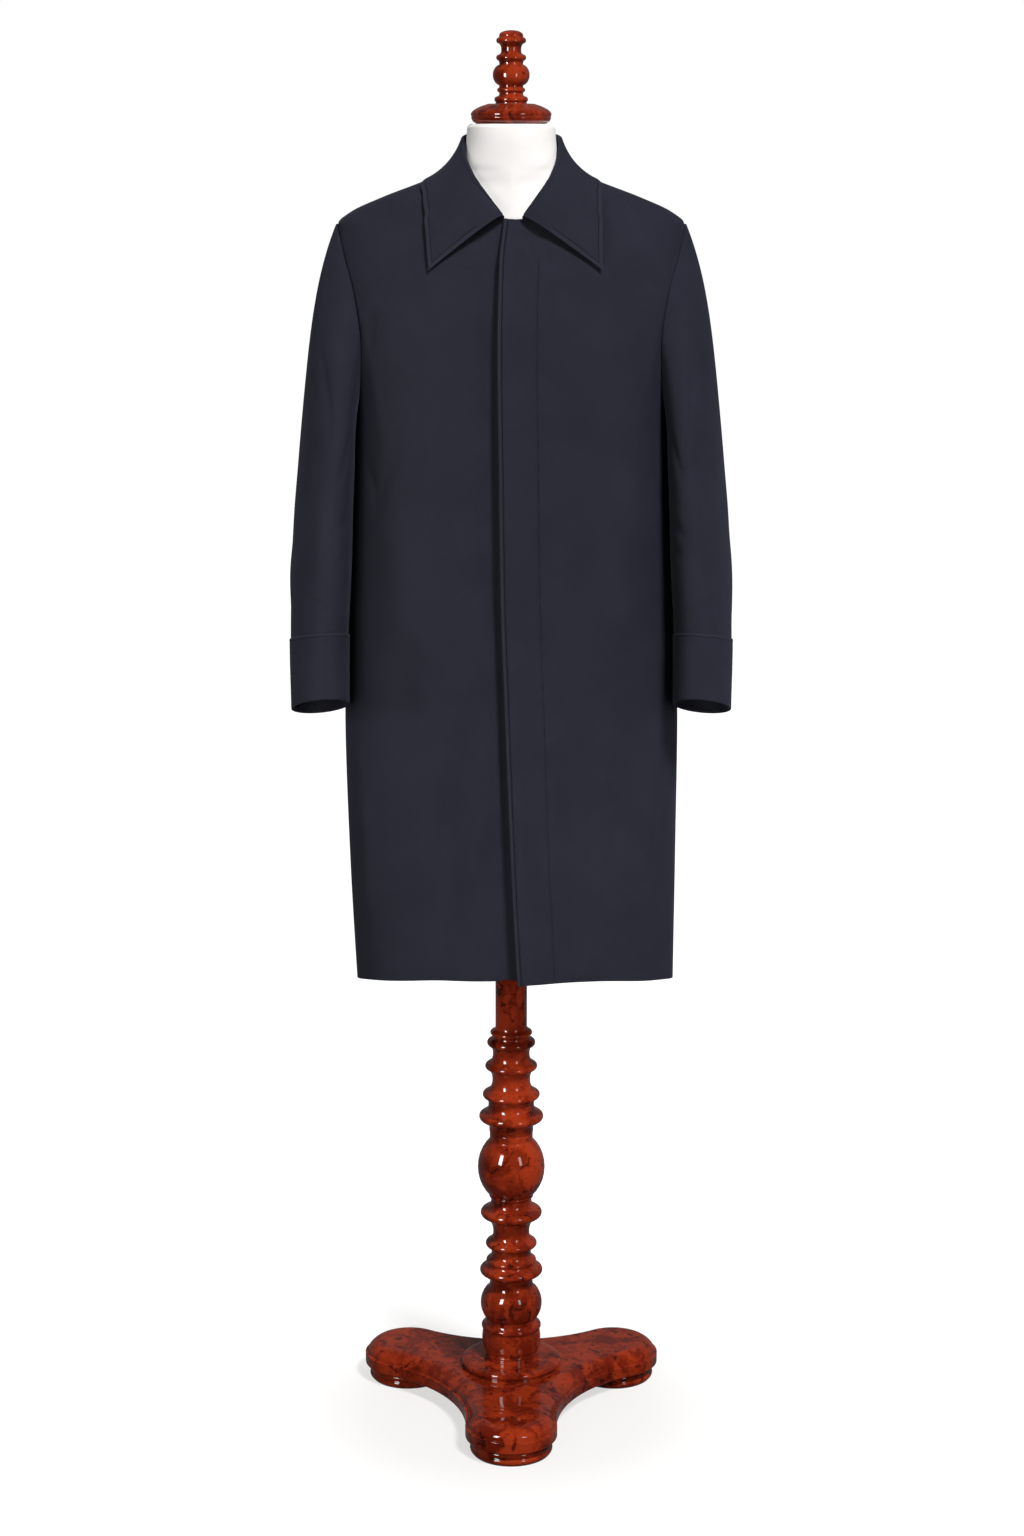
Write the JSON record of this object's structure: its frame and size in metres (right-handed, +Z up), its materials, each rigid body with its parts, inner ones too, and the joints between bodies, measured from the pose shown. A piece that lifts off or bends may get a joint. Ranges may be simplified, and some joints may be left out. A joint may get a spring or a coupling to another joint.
{
  "type": "mackintosh on a dress form stand",
  "caption": "Knee-length navy mackintosh with a pointed collar, fly front and turn-back cuffs, hung on an off-white limbless dress form with a turned wooden stand.",
  "frame": {"origin": "floor level, under the middle of the part's box; the post stands 40 mm behind it", "axes": "+Z up, -Y the front of the coat, +X the wearer's left"},
  "size_m": [0.5606, 0.3572, 1.7755],
  "materials": {
    "coat_cloth": "matt navy raincoat cloth, tightly woven",
    "form_cover": "matt off-white cover",
    "mahogany": "glossy red-brown lacquer over figured wood"
  },
  "bodies": {
    "root": {"back": "coat_cloth", "front_left": "coat_cloth", "front_right": "coat_cloth", "sleeve_left": "coat_cloth", "sleeve_right": "coat_cloth", "cuff_left": "coat_cloth", "cuff_right": "coat_cloth", "collar": "coat_cloth", "form_torso": "form_cover", "neck_cap": "mahogany", "finial": "mahogany", "post": "mahogany", "base_ring": "mahogany", "base": "mahogany", "foot_front": "mahogany", "foot_right": "mahogany", "foot_left": "mahogany"}
  },
  "joints": []
}
